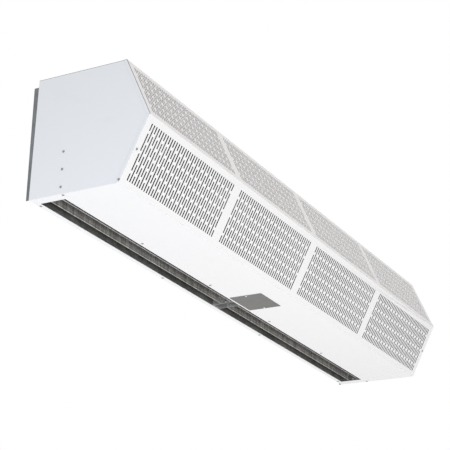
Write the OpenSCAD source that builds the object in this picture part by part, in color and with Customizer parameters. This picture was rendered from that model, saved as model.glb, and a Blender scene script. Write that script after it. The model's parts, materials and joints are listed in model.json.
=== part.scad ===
/* [Cabinet] */
// Length over the side wraps of the intake panels
cabinet_l = 2134; // [2060:2:2400]
// Height from the bottom panel to the top panel
cabinet_h = 388; // [380:1:410]
// Depth from the rear face to the nose
nose_depth = 403; // [385:1:420]
// Height of the nose above the bottom panel
nose_h = 196; // [186:1:206]
// Depth of the bottom panel
bottom_depth = 312; // [302:1:322]
// Depth of the top panel
top_depth = 312; // [302:1:322]
// Thickness of the sheet steel
sheet_t = 1.5; // [1.2:0.1:2]
// Width of the inward flanges of the end panels
end_flange = 15; // [14:1:18]
// Width of the lips that the panels overlap on
lip_w = 12; // [10:1:14]
// Width of the side wraps of the intake panels
wrap_w = 9; // [8:1:11]

/* [Intake slots] */
// Length of a full slot
slot_l = 53.1; // [48:0.1:54]
// Width of a slot
slot_w = 5.3; // [4.5:0.1:6]
// Metal left between two slots of a column
slot_bridge = 9; // [7:0.1:9.4]
// Pitch of the slot columns
slot_pitch = 12.5; // [11:0.1:14]
// Plain margin between the last slots and the end of the panel
end_margin = 27; // [22:1:32]
// How far the slots of the lower face sit below its middle
lower_slot_drop = 1.9; // [0:0.1:4]
// Plain strip between two windows
divider_w = 45; // [36:1:54]
// Distance between the middles of two plain strips
divider_pitch = 537.5; // [500:0.5:550]

/* [Discharge nozzle] */
// Width of the opening, front to back
nozzle_w = 87.5; // [85:0.5:90]
// Distance from the rear face to the opening
nozzle_rear = 16.5; // [15.5:0.5:20]
// Distance from each end of the cabinet to the opening
nozzle_end = 37; // [34:1:44]
// Height of the nozzle walls under the fan deck
nozzle_h = 150; // [140:1:156]
// Width of the screwed flanges of the front wall of the nozzle
nozzle_flange = 18; // [17:1:22]
// Chord of a vane
vane_chord = 45; // [40:1:48]
// Thickness of a vane
vane_t = 1.6; // [1.2:0.1:2]
// Radius of the rolled edges of a vane
vane_hem_r = 2; // [1.6:0.1:2.5]
// Height of the vane pivots above the bottom face
vane_pivot_h = 27; // [26:1:32]
// Distance from the rear wall to the rear vane
rear_vane_set = 30; // [27:0.5:33]
// Distance from the rear wall to the front vane
front_vane_set = 70.5; // [68:0.5:72]
// Radius of the vane pivot pins
vane_pin_r = 3; // [2.5:0.1:4]
// Half width of the centre bracket
bracket_half_w = 22; // [18:1:30]
// Height of the top of the centre bracket above the bottom face
bracket_top = 60; // [54:1:70]
// Height of the lock screws above the bottom face
lock_screw_h = 10; // [8:0.5:13]

/* [Fans] */
// Radius of a fan wheel
wheel_r = 75; // [72:0.5:77]
// Gap between each side of the wheel and its housing
wheel_side = 10; // [7:0.5:14]
// Number of blades on a wheel
blade_count = 36; // [30:1:40]
// Radial depth of a blade
blade_depth = 13; // [11:0.5:15]
// Gap between the wheel and the tongue of the scroll
tongue_gap = 9; // [7:0.5:11]
// How much the scroll opens out from the tongue to the outlet
scroll_growth = 30; // [28:0.5:34]
// Width of a scroll housing
housing_w = 230; // [226:2:240]
// Throat radius of an inlet ring
inlet_r = 56; // [52:0.5:57]
// Gap between the scroll housings and the top panel
scroll_top_gap = 5; // [3:0.5:8]
// Radius of the motor shaft
shaft_r = 6.35; // [5:0.05:8]
// Radius of the motor body
motor_r = 62; // [55:1:66]
// Length of the motor over its bosses
motor_l = 190; // [180:2:200]
// Gap between the motor and a scroll housing
inlet_gap = 65; // [50:1:70]
// Radius of the motor bosses
boss_r = 17; // [14:1:20]
// Outer radius of the rubber mounting rings
ring_r = 30; // [26:1:34]

/* [Wall mounting] */
// Distance from the wall to the rear face
standoff = 16; // [14:0.5:18]
// Distance from the top of the back panel to the upper wall rail
upper_rail_drop = 65; // [55:1:90]
// Distance between the two wall rails
rail_spacing = 110; // [95:1:120]
// Distance from each end of the cabinet to the wall bolts
wall_bolt_inset = 122; // [110:1:130]
// Radius of the wall bolt holes
wall_bolt_r = 5; // [4:0.5:6]
// How far the back panel stops below the top panel
back_drop = 23; // [20:1:30]
// Depth of the side flange at the foot of the back panel
back_foot_depth = 10; // [8:0.5:14]
// Distance from each end of the cabinet to the rod holes
rod_inset = 107; // [90:1:120]
// Distance between the two rod holes on the depth
rod_pitch_y = 190; // [160:5:200]
// Distance from the rear face to the middle of the rod holes
rod_mid_depth = 155; // [152:1:158]
// Radius of the rod holes
rod_r = 5.5; // [4:0.5:7]
// Radius of the conduit hole
conduit_r = 11.1; // [10:0.1:14]

/* [Badge] */
// Length of the bare badge plate
badge_l = 146; // [100:1:180]
// Width of the bare badge plate
badge_w = 122; // [80:1:140]
// Thickness of the bare badge plate
badge_t = 1; // [0.8:0.1:2]
// Gap between the opening and the badge plate
badge_gap = 7; // [5:1:20]

/* [Hidden] */

$fn = 64;
seam = 0.2;          // gap between two painted sheets that meet at an edge
running = 0.05;      // radial clearance of a pin or shaft that turns
bush = 0.03;         // radial clearance of what is fixed on a shaft or boss
vane_side = 0.5;     // side clearance of a vane
cut = 1;             // how far a cutting solid runs past what it cuts

// Planes of the cabinet: X runs along it, Y towards the wall, Z up from the bottom face.
rear_y = -standoff;
half_l = cabinet_l / 2;
end_out_x = half_l - sheet_t;
end_in_x = end_out_x - sheet_t;
lip_gap = 1;          // gap between a lip and the flange of the end panel beside it
lip_x = end_out_x - end_flange - lip_gap;
corners = [[rear_y, 0], [rear_y - bottom_depth, 0], [rear_y - nose_depth, nose_h],
    [rear_y - top_depth, cabinet_h], [rear_y, cabinet_h]];
lower_edge = 1;
upper_edge = 2;
rear_edge = 4;

// Nozzle planes
nozzle_rear_y = rear_y - nozzle_rear;
nozzle_front_y = nozzle_rear_y - nozzle_w;
nozzle_x = half_l - nozzle_end;
deck_z = nozzle_h + sheet_t;
bracket_t = 2;
vane_boss_wall = 2.5;
vane_boss_r = vane_pin_r + vane_boss_wall;
vane_boss_l = 12;
pin_out = 4;

// Fan planes: the scroll's outer wall runs down into the rear wall of the nozzle.
tongue_r = wheel_r + tongue_gap;
outlet_r = tongue_r + scroll_growth;
shaft_y = nozzle_rear_y - outlet_r;
tongue_angle = acos((nozzle_front_y - shaft_y) / tongue_r);
top_angle = 270;
top_scroll_r = scroll_radius(top_angle);
shaft_z = cabinet_h - sheet_t - scroll_top_gap - sheet_t - top_scroll_r;
motor_x = cabinet_l / 4;
fan_offset = motor_l / 2 + inlet_gap + housing_w / 2;
wheel_w = housing_w - 2 * wheel_side;
disc_t = 2;
hub_r = 16;
hub_l = 34;
shaft_overhang = 8;
shaft_half = fan_offset + hub_l / 2 + shaft_overhang;
blade_t = 1.2;
wheel_ring_t = 3;
ring_w = 10;
boss_l = 14;
bell_l = 15;
inlet_wall = 1.2;
inlet_flare = 8;
inlet_spigot = 4;
inlet_rim = 12;
foot_w = 8;
cradle_t = 3;
cradle_half_w = 60;
upright_half_w = ring_r + 6;
ring_gap = 2;
ring_x = motor_l / 2 - boss_l + ring_gap + ring_w / 2;
deck_margin = 12;
deck_front_y = shaft_y - cradle_half_w - deck_margin;
deck_rear_y = rear_y - sheet_t;
deck_flange = 15;

// Wall side
back_h = cabinet_h - back_drop;
upper_rail_h = back_h - upper_rail_drop;
lower_rail_h = upper_rail_h - rail_spacing;
wall_bolt_x = half_l - wall_bolt_inset;
rail_t = 2;
rail_crown = 20;
rail_brim = 34;
rail_inset = 30;
rail_half_l = end_out_x - sheet_t - rail_inset;
rail_depth = standoff - sheet_t;
driver_hole_r = 14;
back_rise = 2;
hanger_size = 60;
hanger_t = 4;
rod_pitch_x = cabinet_l - 2 * rod_inset;
rod_mid_y = rear_y - rod_mid_depth;

// Control box, on the inside of the right end panel
box_x = 90;
box_y = 110;
box_z = 150;
box_t = 1.2;
box_behind = 12;
box_rise = 40;
box_right_x = end_in_x;
box_rear_y = rear_y - box_behind;
box_low_z = deck_z + box_rise;
conduit_x = box_right_x - box_x / 2;
conduit_y = box_rear_y - box_y / 2;

// Sheet metal screws: a row of six in front of the opening and one of four behind it
screw_head_r = 4;
lock_head_r = 5;
screw_head_h = 2.2;
screw_r = 1.9;
screw_l = 7;
screw_hole_r = 2.3;
nozzle_screw_back = 12;
nozzle_screw_inset = 9.5;
nozzle_screw_y = nozzle_front_y - nozzle_screw_back;
nozzle_screw_pitch = (half_l - nozzle_screw_inset) / 2.5;
strip_screw_back = 8;
strip_screw_inset = 51;
strip_screw_y = rear_y - strip_screw_back;
strip_screw_pitch = (half_l - strip_screw_inset) / 1.5;
end_screw_back = 7;
end_screw_low = 22.5;
end_screw_drop = 16;
end_screw_y = nozzle_front_y - end_screw_back;
end_screw_pitch = (nozzle_h - end_screw_drop - end_screw_low) / 2;
intake_screw_inset = 11;
intake_screw_x = half_l - intake_screw_inset;
wrap_screw_up = 8;
back_screw_low = 8;
back_screw_drop = 6;
back_screw_high = back_h - back_screw_drop;

white = [0.94, 0.94, 0.95];
zinc = [0.6, 0.61, 0.6];
dark_zinc = [0.42, 0.43, 0.42];
steel = [0.7, 0.7, 0.72];
black = [0.12, 0.12, 0.13];
olive = [0.45, 0.46, 0.42];

// ---- outline of the cabinet ----

function cross2(a, b) = a[0] * b[1] - a[1] * b[0];
function edge_from(i) = corners[i];
function edge_vector(i) = corners[(i + 1) % 5] - corners[i];
function edge_dir(i) = edge_vector(i) / norm(edge_vector(i));
function edge_length(i) = norm(edge_vector(i));
function edge_angle(i) = atan2(edge_dir(i)[1], edge_dir(i)[0]);
function inward(i) = [edge_dir(i)[1], -edge_dir(i)[0]];

// Corner i of the outline once the edge before it is set in by a and the edge after it by b
function corner(i, a, b) =
    let (before = (i + 4) % 5,
        p = corners[i] + inward(before) * a,
        q = corners[i] + inward(i) * b,
        s = cross2(q - p, edge_dir(i)) / cross2(edge_dir(before), edge_dir(i)))
    p + edge_dir(before) * s;

// The outline set in by d all round, apart from the rear, which is set in by r
function inset_outline(d, r) =
    [for (i = [0:4]) corner(i, i == 0 ? r : d, i == rear_edge ? r : d)];

// Draws a YZ outline between two X planes
module along_x(from, to) {
    translate([from, 0, 0]) rotate([90, 0, 90]) linear_extrude(to - from) children();
}

// Local X stays along the cabinet, Y runs up an edge of the outline and Z points out of it
module on_edge(i) {
    translate([0, edge_from(i)[0], edge_from(i)[1]]) rotate([edge_angle(i), 0, 0]) children();
}

module both_ends() {
    children();
    mirror([1, 0, 0]) children();
}

// The part hangs from its upper wall bolts: their middle is the origin
module hung() {
    translate([0, 0, -upper_rail_h]) children();
}

// ---- screws and where they sit ----

// A pan head screw whose head stands on the Z = 0 plane
module screw(head_r = screw_head_r) {
    cylinder(r1 = head_r, r2 = head_r * 0.7, h = screw_head_h);
    translate([0, 0, -screw_l]) cylinder(r = screw_r, h = screw_l + 0.1);
}

module screw_hole() {
    translate([0, 0, -screw_l - cut]) cylinder(r = screw_hole_r, h = screw_l + 2 * cut);
}

module at_nozzle_screws() {
    for (i = [-2.5:1:2.5])
        translate([i * nozzle_screw_pitch, nozzle_screw_y, 0]) rotate([180, 0, 0]) children();
}

module at_strip_screws() {
    for (i = [-1.5:1:1.5])
        translate([i * strip_screw_pitch, strip_screw_y, 0]) rotate([180, 0, 0]) children();
}

module at_end_screws() {
    both_ends() for (i = [0:2])
        translate([end_out_x, end_screw_y, end_screw_low + i * end_screw_pitch])
            rotate([0, 90, 0]) children();
}

module at_wrap_screws() {
    both_ends() on_edge(lower_edge)
        translate([half_l, wrap_screw_up, -wrap_w / 2]) rotate([0, 90, 0]) children();
}

module at_intake_screws() {
    on_edge(lower_edge) for (side = [-1, 1])
        translate([side * intake_screw_x, edge_length(lower_edge) / 2, 0]) children();
}

module at_back_screws() {
    for (i = [-1.5:1:1.5], h = [back_screw_low, back_screw_high])
        translate([i * strip_screw_pitch, rear_y + sheet_t, h]) rotate([-90, 0, 0]) children();
}

module case_screws() {
    color(steel) {
        at_nozzle_screws() screw();
        at_strip_screws() screw();
        at_end_screws() screw();
        at_wrap_screws() screw();
        at_intake_screws() screw();
        at_back_screws() screw();
    }
}

// ---- painted cabinet ----

module top_panel() {
    color(white) difference() {
        union() {
            along_x(-end_out_x, end_out_x) polygon([
                corner(3, sheet_t + seam, 0), corner(4, 0, 0),
                corner(4, sheet_t, 0), corner(3, sheet_t + seam, sheet_t)]);
            on_edge(upper_edge)
                translate([-lip_x, edge_length(upper_edge) - lip_w, -2 * sheet_t - seam])
                    cube([2 * lip_x, lip_w, sheet_t]);
            translate([-lip_x, rear_y - sheet_t, back_h - lip_w])
                cube([2 * lip_x, sheet_t, back_drop + lip_w]);
        }
        for (x = [-1, 1], y = [-1, 1])
            translate([x * rod_pitch_x / 2, rod_mid_y + y * rod_pitch_y / 2, cabinet_h - lip_w])
                cylinder(r = rod_r, h = 2 * lip_w);
        translate([conduit_x, conduit_y, cabinet_h - lip_w])
            cylinder(r = conduit_r, h = 2 * lip_w);
        at_back_screws() screw_hole();
    }
}

module bottom_panel() {
    color(white) difference() {
        union() {
            along_x(-end_out_x, end_out_x) polygon([
                corner(0, 0, 0), corner(1, 0, sheet_t + seam),
                corner(1, sheet_t, sheet_t + seam), corner(0, 0, sheet_t)]);
            on_edge(lower_edge)
                translate([-lip_x, 0, -2 * sheet_t - seam])
                    cube([2 * lip_x, lip_w, sheet_t]);
            translate([-lip_x, rear_y - sheet_t, 0]) cube([2 * lip_x, sheet_t, lip_w]);
        }
        translate([-nozzle_x, nozzle_front_y, -cut]) cube([2 * nozzle_x, nozzle_w, lip_w]);
        at_nozzle_screws() screw_hole();
        at_strip_screws() screw_hole();
        at_back_screws() screw_hole();
    }
}

// A flat end with flanges turned in all round, under the four painted panels
module end_panel() {
    color(white) difference() {
        union() {
            along_x(end_in_x, end_out_x) polygon(inset_outline(sheet_t, 0));
            along_x(end_out_x - end_flange, end_out_x) difference() {
                polygon(inset_outline(sheet_t, 0));
                polygon(inset_outline(2 * sheet_t, sheet_t));
            }
        }
        at_nozzle_screws() screw_hole();
        at_end_screws() screw_hole();
        at_wrap_screws() screw_hole();
        at_intake_screws() screw_hole();
    }
}

module left_end_panel() {
    mirror([1, 0, 0]) end_panel();
}

module right_end_panel() {
    end_panel();
}

// Columns of slots, staggered by half a slot from one column to the next
module slot_window(left, right) {
    columns = round((right - left - slot_w) / slot_pitch) + 1;
    first = (left + right - (columns - 1) * slot_pitch) / 2;
    step = slot_l + slot_bridge;
    half_slot = (slot_l - slot_bridge) / 2;
    for (c = [0:columns - 1])
        translate([first + c * slot_pitch - slot_w / 2, 0]) {
            if (c % 2 == 0) {
                for (y = [step / 2, 3 * step / 2]) translate([0, y]) square([slot_w, slot_l]);
                square([slot_w, half_slot]);
                translate([0, 2 * step + slot_l - half_slot]) square([slot_w, half_slot]);
            } else
                for (y = [0:2]) translate([0, y * step]) square([slot_w, slot_l]);
        }
}

module slot_pattern() {
    inner = divider_w / 2;
    outer = divider_pitch - divider_w / 2;
    slot_window(inner, outer);
    slot_window(-outer, -inner);
    slot_window(divider_pitch + divider_w / 2, half_l - end_margin);
    slot_window(-half_l + end_margin, -divider_pitch - divider_w / 2);
}

// The slotted sheet of one slanted face, from start to stop up that edge, slots from slots_up.
// It ends inside the side wraps.
module slotted_sheet(i, start, stop, slots_up) {
    sheet_end = half_l - sheet_t / 2;
    on_edge(i) translate([0, 0, -sheet_t]) linear_extrude(sheet_t) difference() {
        translate([-sheet_end, start]) square([2 * sheet_end, stop - start]);
        translate([0, slots_up]) slot_pattern();
    }
}

slots_h = 3 * slot_l + 2 * slot_bridge;
upper_slots_up = (edge_length(upper_edge) - slots_h) / 2;
lower_slots_up = (edge_length(lower_edge) - slots_h) / 2 - lower_slot_drop;
nose_trim = sheet_t * tan(90 - edge_angle(upper_edge)) + seam;
lower_nose_trim = sheet_t * tan(edge_angle(lower_edge) - 90) + seam;
nose_inner = corner(2, wrap_w, wrap_w);

// The point of slanted edge i that lies up above the nose
function near_nose(i, up) = corners[2] + edge_dir(i) * up / edge_dir(i)[1];

module upper_intake_panel() {
    color(white) union() {
        slotted_sheet(upper_edge, nose_trim, edge_length(upper_edge) - seam, upper_slots_up);
        translate([-lip_x, corners[2][0] + sheet_t, nose_h + seam / 2])
            cube([2 * lip_x, lip_w, sheet_t]);
        both_ends() along_x(end_out_x, half_l) polygon([
            near_nose(upper_edge, seam), corners[3], corner(3, wrap_w, 0),
            nose_inner + [0, seam]]);
    }
}

module lower_intake_panel() {
    color(white) difference() {
        union() {
            slotted_sheet(lower_edge, 0, edge_length(lower_edge) - lower_nose_trim,
                lower_slots_up);
            translate([-lip_x, corners[2][0] + sheet_t, nose_h - seam / 2 - sheet_t])
                cube([2 * lip_x, lip_w, sheet_t]);
            both_ends() along_x(end_out_x, half_l) polygon([
                corners[1], near_nose(lower_edge, -seam), nose_inner - [0, seam],
                corner(1, 0, wrap_w)]);
        }
        at_intake_screws() screw_hole();
        at_wrap_screws() screw_hole();
    }
}

// ---- back and wall rails ----

module at_wall_bolts(h) {
    for (side = [-1, 1])
        translate([side * wall_bolt_x, 0, h]) rotate([90, 0, 0]) children();
}

// A galvanised tray whose side flanges taper from the top to the foot
module back_panel() {
    color(dark_zinc) difference() {
        union() {
            translate([-end_out_x, rear_y, back_rise])
                cube([2 * end_out_x, sheet_t, back_h - back_rise]);
            both_ends() along_x(end_out_x - sheet_t, end_out_x) polygon([
                [rear_y, 0], [rear_y, back_h], [0, back_h], [rear_y + back_foot_depth, 0]]);
            translate([-end_out_x, rear_y, back_h - sheet_t])
                cube([2 * end_out_x, standoff, sheet_t]);
        }
        for (h = [upper_rail_h, lower_rail_h])
            at_wall_bolts(h) cylinder(r = driver_hole_r, h = standoff + cut);
        at_back_screws() screw_hole();
    }
}

// A hat rail: its brim is riveted to the back panel and its crown lies on the wall
module wall_rail(h) {
    foot = -rail_depth;
    color(zinc) difference() {
        translate([0, 0, h]) along_x(-rail_half_l, rail_half_l) polygon([
            [foot, -rail_brim], [foot, rail_t - rail_crown], [-rail_t, rail_t - rail_crown],
            [-rail_t, rail_crown - rail_t], [foot, rail_crown - rail_t], [foot, rail_brim],
            [foot + rail_t, rail_brim], [foot + rail_t, rail_crown], [0, rail_crown],
            [0, -rail_crown], [foot + rail_t, -rail_crown], [foot + rail_t, -rail_brim]]);
        at_wall_bolts(h) translate([0, 0, -cut]) cylinder(r = wall_bolt_r, h = rail_t + 2 * cut);
    }
}

module upper_wall_rail() {
    wall_rail(upper_rail_h);
}

module lower_wall_rail() {
    wall_rail(lower_rail_h);
}

// Steel plates under the top panel that the threaded rods pull on
module hanger_plates() {
    color(steel) for (x = [-1, 1], y = [-1, 1])
        translate([x * rod_pitch_x / 2, rod_mid_y + y * rod_pitch_y / 2,
            cabinet_h - sheet_t - hanger_t])
            difference() {
                translate([-hanger_size / 2, -hanger_size / 2, 0])
                    cube([hanger_size, hanger_size, hanger_t]);
                translate([0, 0, -cut]) cylinder(r = rod_r, h = hanger_t + 2 * cut);
            }
}

// ---- discharge nozzle ----

wall_lift = 0.5;
wall_low_z = 2 * sheet_t + wall_lift;
bracket_low_z = sheet_t + 1;

module nozzle_front_wall() {
    color(dark_zinc) difference() {
        union() {
            translate([-end_in_x, nozzle_front_y - sheet_t, wall_low_z])
                cube([2 * end_in_x, sheet_t, nozzle_h - wall_low_z]);
            both_ends() translate([end_in_x - sheet_t, nozzle_front_y - nozzle_flange, wall_low_z])
                cube([sheet_t, nozzle_flange, nozzle_h - wall_low_z]);
            translate([-end_in_x, nozzle_front_y - nozzle_flange, nozzle_h - sheet_t])
                cube([2 * end_in_x, nozzle_flange, sheet_t]);
            along_x(-lip_x, lip_x) polygon([
                [nozzle_front_y, sheet_t], [nozzle_front_y, wall_low_z + cut],
                [nozzle_front_y - sheet_t, wall_low_z + cut],
                [nozzle_front_y - sheet_t, 2 * sheet_t],
                [nozzle_front_y - nozzle_flange, 2 * sheet_t],
                [nozzle_front_y - nozzle_flange, sheet_t]]);
        }
        at_nozzle_screws() screw_hole();
        at_end_screws() screw_hole();
    }
}

module nozzle_rear_wall() {
    reach = nozzle_rear - sheet_t - 1;
    color(dark_zinc) difference() {
        along_x(-nozzle_x - lip_w, nozzle_x + lip_w) translate([nozzle_rear_y, 0]) polygon([
            [0, sheet_t], [reach, sheet_t], [reach, 2 * sheet_t], [sheet_t, 2 * sheet_t],
            [sheet_t, nozzle_h - sheet_t], [reach, nozzle_h - sheet_t],
            [reach, nozzle_h], [0, nozzle_h]]);
        at_strip_screws() screw_hole();
    }
}

module at_vane_pivots() {
    for (set = [rear_vane_set, front_vane_set])
        translate([0, nozzle_rear_y - set, vane_pivot_h]) rotate([0, 90, 0]) children();
}

module nozzle_end_wall() {
    color(dark_zinc) difference() {
        translate([0, nozzle_front_y, 0]) union() {
            translate([nozzle_x, 0, sheet_t]) cube([sheet_t, nozzle_w, nozzle_h - sheet_t]);
            translate([nozzle_x, 0, sheet_t]) cube([lip_w, nozzle_w, sheet_t]);
            translate([nozzle_x, 0, nozzle_h - sheet_t]) cube([lip_w, nozzle_w, sheet_t]);
        }
        at_vane_pivots() translate([0, 0, nozzle_x - cut])
            cylinder(r = vane_pin_r + running, h = sheet_t + 2 * cut);
        at_lock_screws() screw_hole();
    }
}

module nozzle_left_end() {
    mirror([1, 0, 0]) nozzle_end_wall();
}

module nozzle_right_end() {
    nozzle_end_wall();
}

// Midway between the two vanes, with the heads on both supports and facing the vanes' ends
module at_lock_screws() {
    y = nozzle_rear_y - (rear_vane_set + front_vane_set) / 2;
    both_ends() {
        translate([bracket_half_w, y, lock_screw_h]) rotate([0, 90, 0]) children();
        translate([nozzle_x, y, lock_screw_h]) rotate([0, -90, 0]) children();
    }
}

// A box across the middle of the nozzle, open below: its two ears carry the inner vane pivots
module nozzle_centre_bracket() {
    color(zinc) difference() {
        translate([-bracket_half_w, nozzle_front_y, bracket_low_z])
            cube([2 * bracket_half_w, nozzle_w, bracket_top - bracket_low_z]);
        translate([bracket_t - bracket_half_w, nozzle_front_y + bracket_t, bracket_low_z - cut])
            cube([2 * (bracket_half_w - bracket_t), nozzle_w - 2 * bracket_t,
                bracket_top - bracket_low_z - bracket_t + cut]);
        at_vane_pivots() translate([0, 0, -bracket_half_w - cut])
            cylinder(r = vane_pin_r + running, h = 2 * bracket_half_w + 2 * cut);
        at_lock_screws() screw_hole();
    }
}

module lock_screws() {
    color(steel) at_lock_screws() screw(lock_head_r);
}

// A flat vane with two rolled edges, hung on a pivot pin at each end
module vane(set) {
    inner_x = bracket_half_w + vane_side;
    outer_x = nozzle_x - vane_side;
    hem_z = vane_chord / 2 - vane_hem_r;
    color(steel) translate([0, nozzle_rear_y - set, vane_pivot_h]) {
        along_x(inner_x, outer_x) {
            translate([-vane_t / 2, -hem_z]) square([vane_t, 2 * hem_z]);
            for (z = [-hem_z, hem_z]) translate([0, z]) circle(r = vane_hem_r);
        }
        for (x = [inner_x, outer_x - vane_boss_l])
            along_x(x, x + vane_boss_l) circle(r = vane_boss_r);
        along_x(inner_x - vane_side - bracket_t - pin_out, inner_x + cut)
            circle(r = vane_pin_r);
        along_x(outer_x - cut, outer_x + vane_side + sheet_t + pin_out)
            circle(r = vane_pin_r);
    }
}

module left_rear_vane() {
    mirror([1, 0, 0]) vane(rear_vane_set);
}

module left_front_vane() {
    mirror([1, 0, 0]) vane(front_vane_set);
}

module right_rear_vane() {
    vane(rear_vane_set);
}

module right_front_vane() {
    vane(front_vane_set);
}

// ---- fans ----

fan_places = [-motor_x - fan_offset, -motor_x + fan_offset,
    motor_x - fan_offset, motor_x + fan_offset];

module fan_deck() {
    color(zinc) difference() {
        union() {
            translate([-end_in_x, deck_front_y, nozzle_h])
                cube([2 * end_in_x, deck_rear_y - deck_front_y, sheet_t]);
            both_ends() translate([end_in_x - sheet_t, deck_front_y, nozzle_h])
                cube([sheet_t, deck_rear_y - deck_front_y, deck_flange]);
            translate([-end_in_x, deck_front_y, nozzle_h - deck_flange])
                cube([2 * end_in_x, sheet_t, deck_flange + sheet_t]);
            translate([-end_in_x, deck_rear_y - sheet_t, nozzle_h])
                cube([2 * end_in_x, sheet_t, deck_flange]);
        }
        for (x = fan_places)
            translate([x - housing_w / 2 + sheet_t, nozzle_front_y, nozzle_h - cut])
                cube([housing_w - 2 * sheet_t, nozzle_w, sheet_t + 2 * cut]);
    }
}

// Radius of the scroll at an angle turned back from the outlet side
function scroll_radius(a) =
    tongue_r + scroll_growth * (a - tongue_angle) / (360 - tongue_angle);

// YZ outline of the scroll about the shaft, set out by t, with its outlet down to low
module scroll_outline(t, low) {
    tip_y = nozzle_front_y - shaft_y - t;
    start = acos(tip_y / (tongue_r + t));
    steps = 40;
    polygon(concat(
        [for (k = [0:steps])
            let (a = start + (360 - start) * k / steps, r = scroll_radius(a) + t)
            [r * cos(a), -r * sin(a)]],
        [[outlet_r + t, low], [tip_y, low]]));
}

// A scroll housing: a wrapped sheet between two side plates, open to both inlets
module scroll_housing(x) {
    drop = deck_z - shaft_z;
    left = x - housing_w / 2;
    right = x + housing_w / 2;
    hole_r = inlet_r + inlet_wall + bush;
    color(zinc) translate([0, shaft_y, shaft_z]) difference() {
        union() {
            along_x(left, right) scroll_outline(sheet_t, drop);
            translate([left - foot_w, nozzle_front_y - shaft_y - sheet_t - foot_w, drop])
                cube([housing_w + 2 * foot_w, nozzle_w + 2 * sheet_t + 2 * foot_w, sheet_t]);
        }
        along_x(left + sheet_t, right - sheet_t) scroll_outline(0, drop - cut);
        along_x(left - cut, right + cut) circle(r = hole_r);
    }
}

module left_outer_scroll() {
    scroll_housing(fan_places[0]);
}

module left_inner_scroll() {
    scroll_housing(fan_places[1]);
}

module right_inner_scroll() {
    scroll_housing(fan_places[2]);
}

module right_outer_scroll() {
    scroll_housing(fan_places[3]);
}

// A moulded ring that leads the air round a quarter turn into the wheel
module inlet_ring() {
    arc_steps = 8;
    rotate_extrude() polygon(concat(
        [[inlet_r, -inlet_spigot]],
        [for (k = [0:arc_steps])
            let (a = 90 * k / arc_steps)
            [inlet_r + inlet_flare * (1 - cos(a)), inlet_flare * sin(a)]],
        [[inlet_r + inlet_rim, inlet_flare], [inlet_r + inlet_rim, 0],
            [inlet_r + inlet_wall, 0], [inlet_r + inlet_wall, -inlet_spigot]]));
}

module inlet_rings() {
    color(black) for (x = fan_places, side = [-1, 1])
        translate([x + side * housing_w / 2, shaft_y, shaft_z])
            rotate([0, side * 90, 0]) inlet_ring();
}

// One forward-curved blade: radial where the air enters, leaning into the turn where it leaves
module blade() {
    in_r = wheel_r - blade_depth;
    bend_r = blade_depth + 1;
    linear_extrude(wheel_w - wheel_ring_t, center = true) intersection() {
        difference() {
            circle(r = wheel_r - 1);
            circle(r = in_r);
        }
        translate([in_r, -blade_depth]) difference() {
            circle(r = bend_r + blade_t);
            circle(r = bend_r);
        }
        translate([in_r - 2, -blade_depth / 2 - 2]) square([blade_depth + 4, blade_depth + 2]);
    }
}

// A double-inlet wheel: two rows of blades on one centre disc, with a ring at each end
module wheel(x) {
    color(zinc) translate([x, shaft_y, shaft_z]) rotate([0, 90, 0]) difference() {
        union() {
            cylinder(r = wheel_r - 0.5, h = disc_t, center = true);
            cylinder(r = hub_r, h = hub_l, center = true);
            for (i = [0:blade_count - 1]) rotate(i * 360 / blade_count) blade();
            for (side = [-1, 1])
                translate([0, 0, side * (wheel_w - wheel_ring_t) / 2]) difference() {
                    cylinder(r = wheel_r, h = wheel_ring_t, center = true);
                    cylinder(r = wheel_r - blade_depth - 1, h = wheel_ring_t + cut, center = true);
                }
        }
        cylinder(r = shaft_r + bush, h = hub_l + cut, center = true);
    }
}

module left_outer_wheel() {
    wheel(fan_places[0]);
}

module left_inner_wheel() {
    wheel(fan_places[1]);
}

module right_inner_wheel() {
    wheel(fan_places[2]);
}

module right_outer_wheel() {
    wheel(fan_places[3]);
}

module shaft(x) {
    color(steel) translate([x, shaft_y, shaft_z]) rotate([0, 90, 0])
        cylinder(r = shaft_r, h = 2 * shaft_half, center = true);
}

module left_shaft() {
    shaft(-motor_x);
}

module right_shaft() {
    shaft(motor_x);
}

// ---- motors ----

module motor(x) {
    bore_r = shaft_r + running;
    bell_x = motor_l / 2 - boss_l;
    shoulder_x = bell_x - bell_l;
    color(black) translate([x, shaft_y, shaft_z]) rotate([0, 90, 0]) rotate_extrude() polygon([
        [bore_r, -motor_l / 2], [boss_r, -motor_l / 2], [boss_r, -bell_x],
        [motor_r - bell_l, -bell_x], [motor_r, -shoulder_x], [motor_r, shoulder_x],
        [motor_r - bell_l, bell_x], [boss_r, bell_x], [boss_r, motor_l / 2],
        [bore_r, motor_l / 2]]);
}

module left_motor() {
    motor(-motor_x);
}

module right_motor() {
    motor(motor_x);
}

module motor_rings() {
    color(black) for (x = [-motor_x, motor_x], side = [-1, 1])
        translate([x + side * ring_x, shaft_y, shaft_z]) rotate([0, 90, 0]) difference() {
            cylinder(r = ring_r, h = ring_w, center = true);
            cylinder(r = boss_r + bush, h = ring_w + cut, center = true);
        }
}

// A base on the fan deck with two uprights, each closed round a rubber ring
module cradle(x) {
    rise = shaft_z - deck_z;
    color(zinc) translate([x, shaft_y, shaft_z]) union() {
        translate([-motor_l / 2, -cradle_half_w, -rise])
            cube([motor_l, 2 * cradle_half_w, cradle_t]);
        for (side = [-1, 1])
            along_x(side * ring_x - cradle_t / 2, side * ring_x + cradle_t / 2) difference() {
                union() {
                    translate([-upright_half_w, -rise]) square([2 * upright_half_w, rise]);
                    circle(r = upright_half_w);
                }
                circle(r = ring_r + bush);
            }
    }
}

module left_cradle() {
    cradle(-motor_x);
}

module right_cradle() {
    cradle(motor_x);
}

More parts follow.
